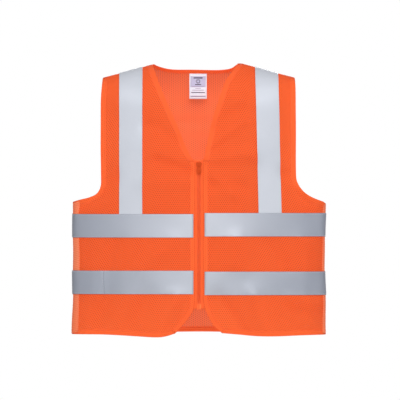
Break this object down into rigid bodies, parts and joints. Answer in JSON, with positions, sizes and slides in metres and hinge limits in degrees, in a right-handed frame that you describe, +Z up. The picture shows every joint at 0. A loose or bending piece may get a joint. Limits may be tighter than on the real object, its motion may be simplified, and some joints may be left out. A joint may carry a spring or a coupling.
{
  "type": "high visibility vest",
  "caption": "Sleeveless orange mesh safety vest in its worn shape, with reflective shoulder and waist tapes, a V neck, a full zip and fronts that fold open.",
  "frame": {"origin": "midway between the two neck points, on the top line of the shoulders, where the shoulders carry the vest", "axes": "+Z up, -Y the way the front faces, +X to the wearer's left"},
  "size_m": [0.5492, 0.1914, 0.589],
  "materials": {
    "orange_mesh": "fluorescent orange knitted polyester mesh with fine regular holes",
    "orange_binding": "plain woven orange polyester binding and turned mesh hems",
    "reflective_tape": "silver-grey glass-bead retroreflective fabric tape",
    "orange_zip_tape": "woven orange zip tape",
    "orange_coil": "orange polyester monofilament coil and moulded zip ends",
    "painted_slider": "orange enamelled die-cast metal",
    "white_label": "white satin care label with plain grey marks"
  },
  "bodies": {
    "vest": {"back_hem": "orange_binding", "back_lower_tape": "reflective_tape", "back_neck_binding": "orange_binding", "back_panel": "orange_mesh", "back_upper_tape": "reflective_tape", "left_armhole_binding": "orange_binding", "left_front_hem": "orange_binding", "left_front_lower_tape": "reflective_tape", "left_front_panel": "orange_mesh", "left_front_upper_tape": "reflective_tape", "left_neck_binding": "orange_binding", "left_shoulder_tape": "reflective_tape", "right_armhole_binding": "orange_binding", "right_front_hem": "orange_binding", "right_front_lower_tape": "reflective_tape", "right_front_panel": "orange_mesh", "right_front_upper_tape": "reflective_tape", "right_neck_binding": "orange_binding", "right_shoulder_tape": "reflective_tape"},
    "left_flap": {"left_flap_panel": "orange_mesh", "left_flap_upper_tape": "reflective_tape", "left_flap_lower_tape": "reflective_tape", "left_flap_binding": "orange_binding", "left_flap_hem": "orange_binding", "left_zip_tape": "orange_zip_tape", "left_zip_coil": "orange_coil", "left_top_stop": "painted_slider", "retainer_box": "orange_coil"},
    "right_flap": {"right_flap_panel": "orange_mesh", "right_flap_upper_tape": "reflective_tape", "right_flap_lower_tape": "reflective_tape", "right_flap_binding": "orange_binding", "right_flap_hem": "orange_binding", "right_zip_tape": "orange_zip_tape", "right_zip_coil": "orange_coil", "right_top_stop": "painted_slider", "insertion_pin": "orange_coil"},
    "slider": {"zip_slider": "painted_slider"},
    "pull": {"pull_tab": "painted_slider"},
    "label": {"neck_label": "white_label"}
  },
  "joints": [
    {"name": "left_front_fold", "type": "hinge", "parent": "vest", "child": "left_flap", "pos_m": [0.048, -0.0941, -0.104], "axis": [-0.1371, 0, 0.9906], "range_deg": [0, 150]},
    {"name": "right_front_fold", "type": "hinge", "parent": "vest", "child": "right_flap", "pos_m": [-0.048, -0.0941, -0.104], "axis": [-0.1371, 0, -0.9906], "range_deg": [0, 150]},
    {"name": "zip_travel", "type": "slide", "parent": "left_flap", "child": "slider", "axis": [0, 0, -1], "range_m": [0, 0.29]},
    {"name": "pull_swing", "type": "hinge", "parent": "slider", "child": "pull", "pos_m": [0, -0.0958, -0.2205], "axis": [-1, 0, 0], "range_deg": [0, 175]},
    {"name": "label_swing", "type": "hinge", "parent": "vest", "child": "label", "pos_m": [0, 0.05775, -0.021], "axis": [-1, 0, 0], "range_deg": [0, 110]}
  ]
}
